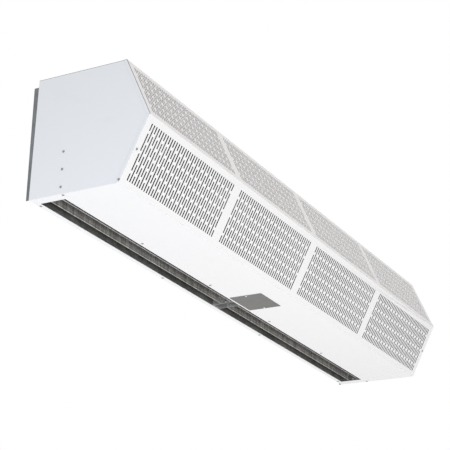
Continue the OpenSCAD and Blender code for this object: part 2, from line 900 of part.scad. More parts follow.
capacitor_r = 20;
capacitor_h = 75;
capacitor_behind = 42;
capacitor_y = rear_y - capacitor_behind;
capacitor_rim = 1;
capacitor_rim_h = 3;
blade_terminal = [6, 0.8, 9];
blade_terminal_x = 8;

// A can with a rolled rim and two blade terminals for each motor
module capacitors() {
    color(steel) for (x = [-motor_x, motor_x])
        translate([x, capacitor_y, deck_z]) {
            cylinder(r = capacitor_r, h = capacitor_h);
            translate([0, 0, capacitor_h + 1 - capacitor_rim_h])
                cylinder(r = capacitor_r + capacitor_rim, h = capacitor_rim_h);
            for (side = [-1, 1])
                translate([side * blade_terminal_x, 0, capacitor_h + blade_terminal[2] / 2])
                    cube(blade_terminal, center = true);
        }
}

// ---- control box ----

module at_conduit() {
    translate([conduit_x, conduit_y, 0]) children();
}

module control_box() {
    color(zinc) difference() {
        translate([box_right_x - box_x, box_rear_y - box_y, box_low_z])
            cube([box_x, box_y, box_z]);
        translate([box_right_x - box_x + box_t, box_rear_y - box_y - cut, box_low_z + box_t])
            cube([box_x - 2 * box_t, box_y + cut - box_t, box_z - 2 * box_t]);
        at_conduit() translate([0, 0, box_low_z + box_z / 2]) cylinder(r = conduit_r, h = box_z);
    }
}

// The lid closes the front of the box and folds over its top and bottom
module control_box_lid() {
    fold = 12;
    low = box_low_z - box_t;
    color(zinc) translate([box_right_x - box_x, box_rear_y - box_y - box_t, low]) {
        cube([box_x, box_t, box_z + 2 * box_t]);
        for (z = [0, box_z + box_t]) translate([0, 0, z]) cube([box_x, box_t + fold, box_t]);
    }
}

terminal_poles = 5;
terminal_pitch = 12;
terminal_bar = [terminal_poles * terminal_pitch + 2, 12, 22];
terminal_rib = [2, 7, 22];
terminal_up = 25;
relay_size = [44, 34, 38];
relay_up = 72;
relay_pin = [6, 0.8, 8];
relay_pin_in = 2;
relay_pin_pitch = 14;

// A barrier strip: one moulded bar with a rib between each pair of poles
module terminal_block() {
    color(black) translate([conduit_x - terminal_bar[0] / 2, box_rear_y - box_t - terminal_bar[1],
        box_low_z + terminal_up]) {
        cube(terminal_bar);
        for (i = [0:terminal_poles])
            translate([i * terminal_pitch, 1 - terminal_rib[1], 0]) cube(terminal_rib);
    }
}

// A relay with a row of blade pins above and below
module relay() {
    color(black) translate([conduit_x, box_rear_y - box_t - relay_size[1] / 2,
        box_low_z + relay_up + relay_size[2] / 2]) {
        cube(relay_size, center = true);
        for (i = [-1:1], side = [-1, 1])
            translate([i * relay_pin_pitch, 0,
                side * (relay_size[2] / 2 + relay_pin[2] / 2 - relay_pin_in)])
                cube(relay_pin, center = true);
    }
}

// ---- badge ----

rivet_inset = 7;
rivet_r = 3;
rivet_top_r = 2;
rivet_h = 1.2;
badge_mid_y = nozzle_front_y - badge_gap - badge_w / 2;

module at_badge_rivets() {
    for (side = [-1, 1])
        translate([side * (badge_l / 2 - rivet_inset), badge_mid_y, -badge_t])
            rotate([180, 0, 0]) children();
}

module badge_plate() {
    color(olive) translate([-badge_l / 2, badge_mid_y - badge_w / 2, -badge_t])
        cube([badge_l, badge_w, badge_t]);
}

module badge_rivets() {
    color(white) at_badge_rivets() cylinder(r1 = rivet_r, r2 = rivet_top_r, h = rivet_h);
}

hung() top_panel();
hung() bottom_panel();
hung() left_end_panel();
hung() right_end_panel();
hung() upper_intake_panel();
hung() lower_intake_panel();
hung() back_panel();
hung() upper_wall_rail();
hung() lower_wall_rail();
hung() hanger_plates();
hung() nozzle_front_wall();
hung() nozzle_rear_wall();
hung() nozzle_left_end();
hung() nozzle_right_end();
hung() nozzle_centre_bracket();
hung() left_rear_vane();
hung() left_front_vane();
hung() right_rear_vane();
hung() right_front_vane();
hung() fan_deck();
hung() left_outer_scroll();
hung() left_inner_scroll();
hung() right_inner_scroll();
hung() right_outer_scroll();
hung() inlet_rings();
hung() left_outer_wheel();
hung() left_inner_wheel();
hung() right_inner_wheel();
hung() right_outer_wheel();
hung() left_shaft();
hung() right_shaft();
hung() left_motor();
hung() right_motor();
hung() left_cradle();
hung() right_cradle();
hung() motor_rings();
hung() capacitors();
hung() control_box();
hung() control_box_lid();
hung() terminal_block();
hung() relay();
hung() badge_plate();
hung() badge_rivets();
hung() case_screws();
hung() lock_screws();
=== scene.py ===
import json
import math

import bmesh
import bpy
from mathutils import Matrix, Vector


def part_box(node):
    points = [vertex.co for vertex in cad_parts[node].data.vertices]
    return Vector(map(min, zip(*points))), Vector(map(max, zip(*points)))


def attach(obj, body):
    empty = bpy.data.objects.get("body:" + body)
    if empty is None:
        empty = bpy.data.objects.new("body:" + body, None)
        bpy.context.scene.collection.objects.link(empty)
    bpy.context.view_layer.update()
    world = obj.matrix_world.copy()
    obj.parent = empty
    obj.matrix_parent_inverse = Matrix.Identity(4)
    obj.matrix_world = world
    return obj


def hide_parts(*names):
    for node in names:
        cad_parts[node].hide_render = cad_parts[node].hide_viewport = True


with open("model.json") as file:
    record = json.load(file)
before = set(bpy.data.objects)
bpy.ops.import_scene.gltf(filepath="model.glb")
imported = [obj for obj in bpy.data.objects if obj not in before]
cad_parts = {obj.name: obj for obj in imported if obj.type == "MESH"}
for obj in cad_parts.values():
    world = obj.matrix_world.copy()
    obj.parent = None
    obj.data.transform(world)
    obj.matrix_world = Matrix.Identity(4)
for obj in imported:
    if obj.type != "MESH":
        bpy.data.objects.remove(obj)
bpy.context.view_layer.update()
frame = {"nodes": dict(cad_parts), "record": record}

scene = bpy.context.scene
mm = 0.001

# the sizes that more than one piece needs, in millimetres, as in the CAD
cabinet = {"length": 2134, "height": 388, "sheet": 1.5, "wallBolts": 300, "rear": -16,
           "bottomDepth": 312, "topDepth": 312, "noseDepth": 403, "noseHeight": 196, "wrap": 9,
           "nozzleFront": -120, "nozzleRear": -32.5, "nozzleHalf": 1030}
halfLength = cabinet["length"] / 2


# A point of the cabinet: x along it, y towards the wall, z up from the bottom face
def at(x, y, z):
    return Vector((x, y, z - cabinet["wallBolts"])) * mm


# One socket of a shader; the operators add the Math nodes behind it
class Wire:
    def __init__(self, bench, socket):
        self.bench = bench
        self.socket = socket

    def __add__(self, other):
        return self.bench.maths("ADD", self, other)

    def __radd__(self, other):
        return self.bench.maths("ADD", other, self)

    def __sub__(self, other):
        return self.bench.maths("SUBTRACT", self, other)

    def __rsub__(self, other):
        return self.bench.maths("SUBTRACT", other, self)

    def __mul__(self, other):
        return self.bench.maths("MULTIPLY", self, other)

    def __rmul__(self, other):
        return self.bench.maths("MULTIPLY", other, self)

    def __gt__(self, other):
        return self.bench.maths("GREATER_THAN", self, other)

    def __lt__(self, other):
        return self.bench.maths("LESS_THAN", self, other)


# What adds the nodes of one material or world
class Bench:
    def __init__(self, tree):
        self.tree = tree
        tree.nodes.clear()

    def node(self, kind, settings, inputs):
        made = self.tree.nodes.new(kind)
        for name, value in settings.items():
            setattr(made, name, value)
        for key, value in inputs.items():
            if isinstance(value, Wire):
                self.tree.links.new(value.socket, made.inputs[key])
            else:
                made.inputs[key].default_value = value
        return made

    def wire(self, kind, settings, inputs, output=0):
        return Wire(self, self.node(kind, settings, inputs).outputs[output])

    def maths(self, operation, *values):
        return self.wire("ShaderNodeMath", {"operation": operation}, dict(enumerate(values)))

    # where a point is on the piece, in metres, stretched along the three axes
    def place(self, stretch=(1, 1, 1)):
        spot = self.wire("ShaderNodeTexCoord", {}, {}, "Object")
        return self.wire("ShaderNodeVectorMath", {"operation": "MULTIPLY"}, {0: spot, 1: stretch})

    def noise(self, scale, detail, rough=0.5, stretch=(1, 1, 1)):
        return self.wire("ShaderNodeTexNoise", {}, {
            "Vector": self.place(stretch), "Scale": scale, "Detail": detail, "Roughness": rough})

    # how far a point lies inside the plane through corner that faces outward
    def depth(self, corner, outward):
        gap = self.wire("ShaderNodeVectorMath", {"operation": "SUBTRACT"}, {
            0: corner, 1: self.place()})
        return self.wire("ShaderNodeVectorMath", {"operation": "DOT_PRODUCT"}, {
            0: gap, 1: outward}, 1)

    # 0 below the range and 1 above it, with a soft start and end
    def eased(self, value, low, high):
        return self.wire("ShaderNodeMapRange", {"interpolation_type": "SMOOTHSTEP"}, {
            "Value": value, "From Min": low, "From Max": high})

    # sockets 6 and 7 of the Mix node are its two colours, and its output 2 is the mixed one
    def blend(self, factor, first, second):
        return self.wire("ShaderNodeMix", {"data_type": "RGBA"}, {
            0: factor, 6: colour(first), 7: colour(second)}, 2)

    def bump(self, height, strength, distance):
        return self.wire("ShaderNodeBump", {}, {
            "Height": height, "Strength": strength, "Distance": distance})


def colour(value):
    return value if isinstance(value, Wire) else (*value, 1)


# A material from one Principled shader; fixed and changing inputs go by the socket's own name
def finish(name, build, *kind):
    made = bpy.data.materials.new(name)
    made.use_nodes = True
    bench = Bench(made.node_tree)
    shader = bench.wire("ShaderNodeBsdfPrincipled", {}, build(bench, *kind))
    bench.node("ShaderNodeOutputMaterial", {}, {"Surface": shader})
    return made


# skins are how deep the white goes, in millimetres: in general, at the lower slots and at the nose;
# past them the inside is painted near black as shade
paintLook = {"colour": (0.80, 0.80, 0.81), "drifted": (0.785, 0.79, 0.80),
             "worn": (0.72, 0.71, 0.69), "insideShade": (0.03, 0.03, 0.03), "roughness": 0.42,
             "peelSize": 420, "peelDepth": 0.00005, "speckSize": 1900,
             "skin": 1.2, "slotSkin": 0.25, "noseSkin": 4,
             "fold": (0.20, 0.195, 0.185), "foldWidth": 1.7}


# White powder coat with orange peel, a slow drift of tone, a little grime and specks, and a line of
# painted shade along the upper edges of the ends; past its skin the inside is painted near black as
# shade
def powderCoat(bench):
    c, look = cabinet, paintLook
    nose = Vector((0, c["bottomDepth"] - c["noseDepth"], c["noseHeight"])).normalized()
    brow = Vector((0, c["noseDepth"] - c["topDepth"], c["height"] - c["noseHeight"])).normalized()
    foot = at(0, c["rear"] - c["bottomDepth"], 0)
    head = at(0, c["rear"] - c["topDepth"], c["height"])
    lower = bench.depth(foot, (0, -nose.z, nose.y))
    upper = bench.depth(head, (0, -brow.z, brow.y))
    roof = bench.depth(head, (0, 0, 1))
    level = bench.maths("MINIMUM", bench.depth(foot, (0, 0, -1)), roof)
    behindNose = bench.depth(at(0, c["rear"] - c["noseDepth"], 0), (0, -1, 0))
    aside = bench.maths("ABSOLUTE", bench.wire("ShaderNodeSeparateXYZ", {}, {0: bench.place()}))
    skin = look["skin"] * mm
    endSkin = (halfLength - c["sheet"]) * mm - skin
    # past the skins the inside is painted near black: painted shade where little light gets in
    inside = ((lower > look["slotSkin"] * mm) * (upper > skin) * (level > skin)
              * (aside < endSkin) * (behindNose > look["noseSkin"] * mm))
    # a painted shade line along the upper edges of the ends, where the seam's shadow falls
    fold = (bench.maths("MINIMUM", upper, roof) < look["foldWidth"] * mm) * (aside > endSkin)
    drift = bench.noise(2.2, 4, 0.55)
    grime = bench.eased(bench.noise(9, 6, 0.62, (0.5, 1, 1.6)), 0.56, 0.78)
    peel = bench.noise(look["peelSize"], 2, 0.4)
    speck = bench.eased(bench.noise(look["speckSize"], 1), 0.74, 0.80)
    clean = bench.blend(drift * 0.5, look["colour"], look["drifted"])
    used = bench.blend(grime * 0.28 + speck * 0.12, clean, look["worn"])
    # the seam's painted shade line goes over the paint
    edged = bench.blend(fold * (0.55 + drift * 0.4), used, look["fold"])
    # the inside takes the near-black painted shade in place of the white
    return {"Base Color": bench.blend(inside, edged, look["insideShade"]),
            "Roughness": look["roughness"] + grime * 0.10 + (peel - 0.5) * 0.08,
            "Normal": bench.bump(peel + grime * 0.1, 0.35, look["peelDepth"])}


along = (0.02, 1, 1)
upright = (1, 1, 0.05)
zincLook = {
    "spangle": 46, "bloomLift": 1.4, "depth": 0.0001,
    "plain": {"bright": (0.46, 0.46, 0.452), "dull": (0.27, 0.27, 0.265),
              "streak": along, "metallic": 0.4},
    # the back look is a darker copy of the sheet: painted shade of the back
    "back": {"bright": (0.21, 0.218, 0.222), "dull": (0.125, 0.131, 0.135),
             "streak": along, "metallic": 0.45},
    # the deck look is a near-black copy of the sheet: painted shade of the inside
    "deck": {"bright": (0.045, 0.047, 0.048), "dull": (0.025, 0.026, 0.027),
             "streak": along, "metallic": 0.4},
    "nozzle": {"bright": (0.20, 0.20, 0.192), "dull": (0.10, 0.101, 0.098),
               "streak": (1, 1, 0.06), "metallic": 0.45}}


# Hot-dip zinc: large crystals that catch the light one by one, with white bloom between them
def galvanisedSheet(bench, kind):
    look = zincLook[kind]
    bright, dull, streak = look["bright"], look["dull"], look["streak"]
    warp = bench.wire("ShaderNodeTexNoise", {}, {
        "Vector": bench.place(), "Scale": 18.0, "Detail": 3.0}, "Color")
    spot = bench.wire("ShaderNodeVectorMath", {"operation": "MULTIPLY_ADD"}, {
        0: warp, 1: (0.03, 0.03, 0.03), 2: bench.place((0.7, 1, 1))})
    cells = bench.wire("ShaderNodeTexVoronoi", {}, {
        "Vector": spot, "Scale": zincLook["spangle"]}, "Color")
    crystal = bench.wire("ShaderNodeSeparateColor", {}, {0: cells})
    bloom = bench.eased(bench.noise(7, 6, 0.6), 0.46, 0.72)
    lines = bench.noise(12, 5, 0.7, streak)
    scratch = bench.eased(bench.noise(60, 3, 0.6, streak), 0.60, 0.72)
    tone = bench.blend(crystal * 0.6 + lines * 0.4, dull, bright)
    bloomed = [value * zincLook["bloomLift"] for value in bright]
    clouded = bench.blend(bloom * 0.35, tone, bloomed)
    return {"Base Color": bench.blend(scratch * 0.3, clouded, dull),
            "Metallic": look["metallic"] - bloom * 0.25,
            "Roughness": 0.34 + crystal * 0.16 + bloom * 0.16 + scratch * 0.06,
            "Normal": bench.bump(crystal * 0.5 + lines + scratch * 0.3, 0.25, zincLook["depth"])}


steelLook = {
    "grain": 110, "fineGrain": 260, "depth": 0.00006,
    "vane": {"bright": (0.46, 0.45, 0.43), "dull": (0.21, 0.205, 0.195), "metallic": 0.3},
    "can": {"bright": (0.78, 0.79, 0.80), "dull": (0.62, 0.63, 0.64), "metallic": 0.92}}


# Rolled metal with an upright grain and darker handling marks
def rolledMetal(bench, kind):
    look = steelLook[kind]
    lines = bench.noise(steelLook["grain"], 4, 0.7, upright)
    fine = bench.noise(steelLook["fineGrain"], 3, 0.6, upright)
    marks = bench.eased(bench.noise(14, 6, 0.65), 0.55, 0.75)
    tone = bench.blend(bench.eased(lines, 0.34, 0.66), look["dull"], look["bright"])
    return {"Base Color": bench.blend(marks * 0.4, tone, look["dull"]),
            "Metallic": look["metallic"] - marks * 0.2,
            "Roughness": 0.34 + lines * 0.14 + marks * 0.14,
            "Normal": bench.bump(lines + fine * 0.6, 0.3, steelLook["depth"])}


platingLook = {"bright": (0.42, 0.42, 0.40), "dull": (0.24, 0.245, 0.24), "depth": 0.00003}


# Bright zinc plate with a faint yellow cast, in brighter and duller patches
def platedSteel(bench):
    patch = bench.noise(160, 4, 0.6)
    fine = bench.noise(1400, 2)
    return {"Base Color": bench.blend(patch, platingLook["dull"], platingLook["bright"]),
            "Metallic": 0.8 - patch * 0.1,
            "Roughness": 0.24 + patch * 0.16 + fine * 0.06,
            "Normal": bench.bump(fine, 0.2, platingLook["depth"])}


badgeLook = {"field": (0.125, 0.124, 0.12), "edge": (0.19, 0.187, 0.18),
             "rubbed": (0.26, 0.26, 0.24), "grain": 260, "depth": 0.00004}


# Baked enamel on a brushed plate: the grain shows through, and patches have rubbed lighter
def badgeEnamel(bench):
    look = badgeLook
    grain = bench.noise(look["grain"], 4, 0.6, (0.03, 1, 1))
    cloud = bench.noise(26, 5, 0.6)
    rub = bench.eased(bench.noise(70, 5, 0.65), 0.58, 0.70)
    tone = bench.blend(grain * 0.5 + cloud * 0.5, look["field"], look["edge"])
    return {"Base Color": bench.blend(rub * 0.2, tone, look["rubbed"]),
            "Roughness": 0.40 + cloud * 0.12, "Metallic": 0.1 + rub * 0.15,
            "Normal": bench.bump(grain, 0.25, look["depth"])}


enamelLook = {"colour": (0.018, 0.019, 0.021), "dust": (0.16, 0.155, 0.145), "peelSize": 500,
              "depth": 0.00006}


# Semi-gloss motor enamel under a film of dust that gathers on top
def motorPaint(bench):
    look = enamelLook
    normal = bench.wire("ShaderNodeNewGeometry", {}, {}, "Normal")
    up = bench.wire("ShaderNodeSeparateXYZ", {}, {0: normal}, "Z")
    dust = bench.eased(up, 0.2, 1.0) * bench.eased(bench.noise(55, 5, 0.6), 0.35, 0.7)
    peel = bench.noise(look["peelSize"], 3)
    return {"Base Color": bench.blend(dust * 0.5, look["colour"], look["dust"]),
            "Roughness": 0.36 + dust * 0.35 + peel * 0.06,
            "Normal": bench.bump(peel, 0.3, look["depth"])}


mouldingLook = {
    "depth": 0.00005,
    "rubber": {"colour": (0.022, 0.022, 0.023), "scuff": (0.07, 0.068, 0.065),
               "roughness": 0.72, "grain": 700},
    "plastic": {"colour": (0.028, 0.028, 0.030), "scuff": (0.10, 0.10, 0.10),
                "roughness": 0.46, "grain": 1500}}


# Rubber and moulded plastic: fine leather-like skin, scuffs a little paler
def blackMoulding(bench, kind):
    look = mouldingLook[kind]
    grain = bench.noise(look["grain"], 3, 0.6)
    marks = bench.eased(bench.noise(90, 5, 0.65), 0.58, 0.74)
    return {"Base Color": bench.blend(marks * 0.5, look["colour"], look["scuff"]),
            "Roughness": look["roughness"] + marks * 0.12 + grain * 0.05,
            "Normal": bench.bump(grain, 0.35, mouldingLook["depth"])}


shaftLook = {"colour": (0.62, 0.62, 0.63), "stain": (0.36, 0.33, 0.29), "rings": 900,
             "depth": 0.00003}


# Turned steel: rings from the tool, with an oil-brown cast in places
def turnedSteel(bench):
    look = shaftLook
    rings = bench.noise(look["rings"], 2, 0.5, (1, 0.02, 0.02))
    stain = bench.eased(bench.noise(40, 5, 0.6), 0.52, 0.72)
    return {"Base Color": bench.blend(stain * 0.4, look["colour"], look["stain"]),
            "Metallic": 0.96 - stain * 0.15, "Roughness": 0.2 + rings * 0.12 + stain * 0.14,
            "Normal": bench.bump(rings, 0.2, look["depth"])}


finishes = {
    "cabinet_paint": finish("white powder coat", powderCoat),
    # the back is the galvanised sheet painted darker as shade
    "back_steel": finish("back galvanised sheet in painted shade", galvanisedSheet, "back"),
    "galvanised": finish("galvanised sheet", galvanisedSheet, "plain"),
    # the deck is the galvanised sheet painted near black as shade
    "shaded_deck_steel": finish("deck galvanised sheet in painted shade", galvanisedSheet, "deck"),
    "nozzle_steel": finish("nozzle galvanised sheet", galvanisedSheet, "nozzle"),
    "vane_steel": finish("vane steel", rolledMetal, "vane"),
    "screw_steel": finish("zinc-plated screw", platedSteel),
    "badge_enamel": finish("badge enamel", badgeEnamel),
    "rivet_white": finish("painted rivet", powderCoat),
    "shaft_steel": finish("turned shaft", turnedSteel),
    "motor_paint": finish("motor enamel", motorPaint),
    "ring_rubber": finish("ring rubber", blackMoulding, "rubber"),
    "moulded_black": finish("black moulding", blackMoulding, "plastic"),
    "can_aluminium": finish("drawn aluminium can", rolledMetal, "can"),
}
slotOf = {part["node"]: part["material_slot"] for part in frame["record"]["subparts"]}
# what the slots look onto is painted darker than the other sheet, as it is in the photo: painted
# shade of the inside
slotOf.update(dict.fromkeys(("fan_deck", "left_cradle", "right_cradle", "control_box",
                             "control_box_lid"), "shaded_deck_steel"))
for node, piece in frame["nodes"].items():
    for place in piece.material_slots:
        place.link = "OBJECT"
        place.material = finishes[slotOf[node]]
print("finishes: one for each material of the part")


# Puts a mesh in the scene with its finish, on the body it moves with, in place of a node
def addPiece(name, mesh, slot, body, stoodFor):
    mesh.materials.append(finishes[slot])
    piece = bpy.data.objects.new(name, mesh)
    scene.collection.objects.link(piece)
    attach(piece, body)
    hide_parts(stoodFor)


# Turns a profile of (radius, height) pairs round the Z axis
def turned(bm, profile, segments):
    rings = []
    for radius, height in profile:
        angles = [2 * math.pi * k / segments for k in range(segments if radius else 1)]
        rings.append([bm.verts.new((radius * math.cos(a), radius * math.sin(a), height))
                      for a in angles])
    for low, high in zip(rings, rings[1:]):
        for k in range(segments):
            n = (k + 1) % segments
            corners = [low[k % len(low)], low[n % len(low)], high[n % len(high)],
                       high[k % len(high)]]
            bm.faces.new(list(dict.fromkeys(corners)))


# Joins two rings of as many points with a band of faces
def banded(bm, first, second):
    for k in range(len(first)):
        n = (k + 1) % len(first)
        bm.faces.new([first[k], first[n], second[n], second[k]])


def meshFrom(bm, name, smoothAngle=35):
    bmesh.ops.recalc_face_normals(bm, faces=bm.faces)
    mesh = bpy.data.meshes.new(name)
    bm.to_mesh(mesh)
    bm.free()
    mesh.shade_smooth()
    mesh.set_sharp_from_angle(angle=math.radians(smoothAngle))
    return mesh


# Cuts one mesh out of another and returns what is left
def cutOut(mesh, cutter):
    whole = bpy.data.objects.new("whole", mesh)
    tool = bpy.data.objects.new("tool", cutter)
    for piece in (whole, tool):
        scene.collection.objects.link(piece)
    boolean = whole.modifiers.new("cut", "BOOLEAN")
    boolean.operation, boolean.solver, boolean.object = "DIFFERENCE", "EXACT", tool
    seen = whole.evaluated_get(bpy.context.evaluated_depsgraph_get())
    left = bpy.data.meshes.new_from_object(seen)
    for piece in (whole, tool):
        bpy.data.objects.remove(piece)
    return left


# Stands what was made along Z at a point, with its Z in the given direction
def stood(point, direction):
    return Matrix.Translation(point) @ direction.to_track_quat("Z", "Y").to_matrix().to_4x4()


# Copies one mesh to many (point, direction, twist) places as one mesh
def spread(mesh, places, name):
    bm = bmesh.new()
    for point, direction, twist in places:
        single = mesh.copy()
        single.transform(stood(point, direction) @ Matrix.Rotation(twist, 4, "Z"))
        bm.from_mesh(single)
        bpy.data.meshes.remove(single)
    return meshFrom(bm, name)


# the shapes of the head, the tip and the recess are shares of the radius and the height or length
screwLook = {"headRadius": 4.0, "lockHeadRadius": 5.0, "headHeight": 2.2, "shankRadius": 1.9,
             "length": 7.0, "tipRadius": 0.35, "tipStart": 0.78, "crossWidth": 1.1,
             "crossReach": 2.3, "crossStart": 1.2, "crossDepth": 1.5, "crossTaper": 0.45,
             "segments": 28,
             "headShape": [(1, 0), (1, 0.30), (0.96, 0.52), (0.86, 0.74), (0.68, 0.90),
                           (0.4, 0.98), (0, 1)]}


# A pan head screw with a cross recess, its head standing on Z = 0
def screwMesh(headRadius):
    s = screwLook
    r, h = headRadius * mm, s["headHeight"] * mm
    bm = bmesh.new()
    turned(bm, [(0, -s["length"] * mm),
                (s["shankRadius"] * s["tipRadius"] * mm, -s["length"] * mm),
                (s["shankRadius"] * mm, -s["length"] * s["tipStart"] * mm),
                (s["shankRadius"] * mm, 0)]
           + [(r * wide, h * up) for wide, up in s["headShape"]], s["segments"])
    head = meshFrom(bm, "screw")
    bm = bmesh.new()
    reach = s["crossReach"] * headRadius / s["headRadius"] * mm
    wide, deep, taper = s["crossWidth"] / 2 * mm, s["crossDepth"] * mm, s["crossTaper"]
    arms = [(reach, wide), (wide, wide), (wide, reach)]
    outline = [(x * sx, y * sy) for sx, sy, flip in ((1, 1, 0), (-1, 1, 1), (-1, -1, 0), (1, -1, 1))
               for x, y in (arms[::-1] if flip else arms)]
    top = [bm.verts.new((x, y, h * s["crossStart"])) for x, y in outline]
    low = [bm.verts.new((x * taper, y * taper, h - deep)) for x, y in outline]
    bm.faces.new(top)
    bm.faces.new(low[::-1])
    banded(bm, low, top)
    return cutOut(head, meshFrom(bm, "recess"))


screwRows = {"frontInset": 9.5, "frontCount": 6, "frontSetBack": 12, "rearInset": 51,
             "rearCount": 4, "rearSetBack": 8, "endSetBack": 7, "endLow": 22.5, "endHigh": 134,
             "endCount": 3, "wrapUp": 8, "intakeInset": 11, "backLow": 8, "backHigh": 359,
             "twist": 0.7, "lockHeight": 10, "bracketHalf": 22, "lockSet": 50.25,
             "lockTwist": 0.4}


# Places along the whole cabinet, evenly apart between the two insets
def evenly(inset, count):
    return [(halfLength - inset) * (2 * k / (count - 1) - 1) for k in range(count)]


def panelPlaces():
    r, c = screwRows, cabinet
    down, back = Vector((0, 0, -1)), Vector((0, 1, 0))
    nose = Vector((0, -(c["noseDepth"] - c["bottomDepth"]), c["noseHeight"]))
    climb = nose.normalized()
    outward = Vector((0, -climb.z, climb.y))
    foot = Vector((0, c["rear"] - c["bottomDepth"], 0))
    rearRow = evenly(r["rearInset"], r["rearCount"])
    places = [(at(x, c["nozzleFront"] - r["frontSetBack"], 0), down)
              for x in evenly(r["frontInset"], r["frontCount"])]
    places += [(at(x, c["rear"] - r["rearSetBack"], 0), down) for x in rearRow]
    places += [(at(x, c["rear"] + c["sheet"], z), back)
               for x in rearRow for z in (r["backLow"], r["backHigh"])]
    for side in (-1, 1):
        out = Vector((side, 0, 0))
        for k in range(r["endCount"]):
            z = r["endLow"] + (r["endHigh"] - r["endLow"]) * k / (r["endCount"] - 1)
            places.append((at(side * (halfLength - c["sheet"]),
                              c["nozzleFront"] - r["endSetBack"], z), out))
        wrap = foot + climb * r["wrapUp"] - outward * c["wrap"] / 2
        places.append((at(side * halfLength, wrap.y, wrap.z), out))
        middle = foot + nose / 2
        places.append((at(side * (halfLength - r["intakeInset"]), middle.y, middle.z), outward))
    return [(point, direction, r["twist"] * k) for k, (point, direction) in enumerate(places)]


def lockPlaces():
    r = screwRows
    y = cabinet["nozzleRear"] - r["lockSet"]
    return [(at(side * x, y, r["lockHeight"]), Vector((facing, 0, 0)), r["lockTwist"] * side)
            for side in (-1, 1)
            for x, facing in ((r["bracketHalf"], side), (cabinet["nozzleHalf"], -side))]


for name, radius, places, node in (
        ("panel_screws", "headRadius", panelPlaces(), "case_screws"),
        ("vane_lock_screws", "lockHeadRadius", lockPlaces(), "lock_screws")):
    addPiece(name, spread(screwMesh(screwLook[radius]), places, name), "screw_steel", "cabinet",
             node)
    print(f"screws: {len(places)} in {name}")

badge = {"edgeRound": 2.5, "leastRound": 0.4, "chamfer": 0.3, "rimWidth": 3.2, "rimSlope": 0.4,
         "rimSink": 0.18, "cornerSteps": 6, "rivetInset": 7, "rivetRadius": 3.0,
         "rivetHeight": 1.2, "rivetSegments": 28,
         "rivetShape": [(0, 0), (1, 0), (0.97, 0.25), (0.85, 0.58), (0.62, 0.84), (0.32, 0.97),
                        (0, 1)]}


# A bare plate with rounded corners, a chamfered edge and a field sunk inside a narrow rim
def badgeMesh():
    low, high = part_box("badge_plate")
    middle, half = (low + high) / 2, (high - low) / 2
    b = badge
    bm = bmesh.new()

    def ring(inset, z):
        r = max(b["edgeRound"] - inset, b["leastRound"]) * mm
        w, d = half.x - inset * mm, half.y - inset * mm
        points = []
        for k, (sx, sy) in enumerate(((1, 1), (-1, 1), (-1, -1), (1, -1))):
            for step in range(b["cornerSteps"] + 1):
                a = math.radians(90 * (k + step / b["cornerSteps"]))
                points.append(bm.verts.new((middle.x + sx * (w - r) + r * math.cos(a),
                                            middle.y + sy * (d - r) + r * math.sin(a), z)))
        return points

    rings = [ring(0, high.z), ring(0, low.z + b["chamfer"] * mm), ring(b["chamfer"], low.z),
             ring(b["rimWidth"], low.z),
             ring(b["rimWidth"] + b["rimSlope"], low.z + b["rimSink"] * mm)]
    for first, second in zip(rings, rings[1:]):
        banded(bm, first, second)
    bm.faces.new(rings[0][::-1])
    bm.faces.new(rings[-1])
    return meshFrom(bm, "badge", smoothAngle=25)


def rivetMesh():
    low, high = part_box("badge_plate")
    b = badge
    bm = bmesh.new()
    turned(bm, [(b["rivetRadius"] * mm * wide, b["rivetHeight"] * mm * up)
                for wide, up in b["rivetShape"]], b["rivetSegments"])
    inset, y = b["rivetInset"] * mm, (low.y + high.y) / 2
    places = [(Vector((x, y, low.z)), Vector((0, 0, -1)), 0)
              for x in (low.x + inset, high.x - inset)]
    return spread(meshFrom(bm, "dome"), places, "badge_dome_rivets")


addPiece("bare_badge", badgeMesh(), "badge_enamel", "cabinet", "badge_plate")
addPiece("badge_dome_rivets", rivetMesh(), "rivet_white", "cabinet", "badge_rivets")
print("badge: bare, with two rivets")

# bands are rolled round the shell, so far in from each bell, and one at the middle
motorLook = {"radius": 62, "length": 190, "bore": 6.42, "bossRadius": 17, "bossLength": 14,
             "bossChamfer": 0.8, "bossFillet": 1.5, "bellLength": 15, "bellFlat": 4,
             "bellSteps": 6, "bandsFromBell": (8, 30), "middleBand": 12, "bandWidth": 3,
             "seam": 1.2, "ribDepth": 1.4, "boltRadius": 4.2, "boltRing": 39,
             "boltHeight": 2.6, "boltChamfer": (0.86, 0.8), "segments": 96}


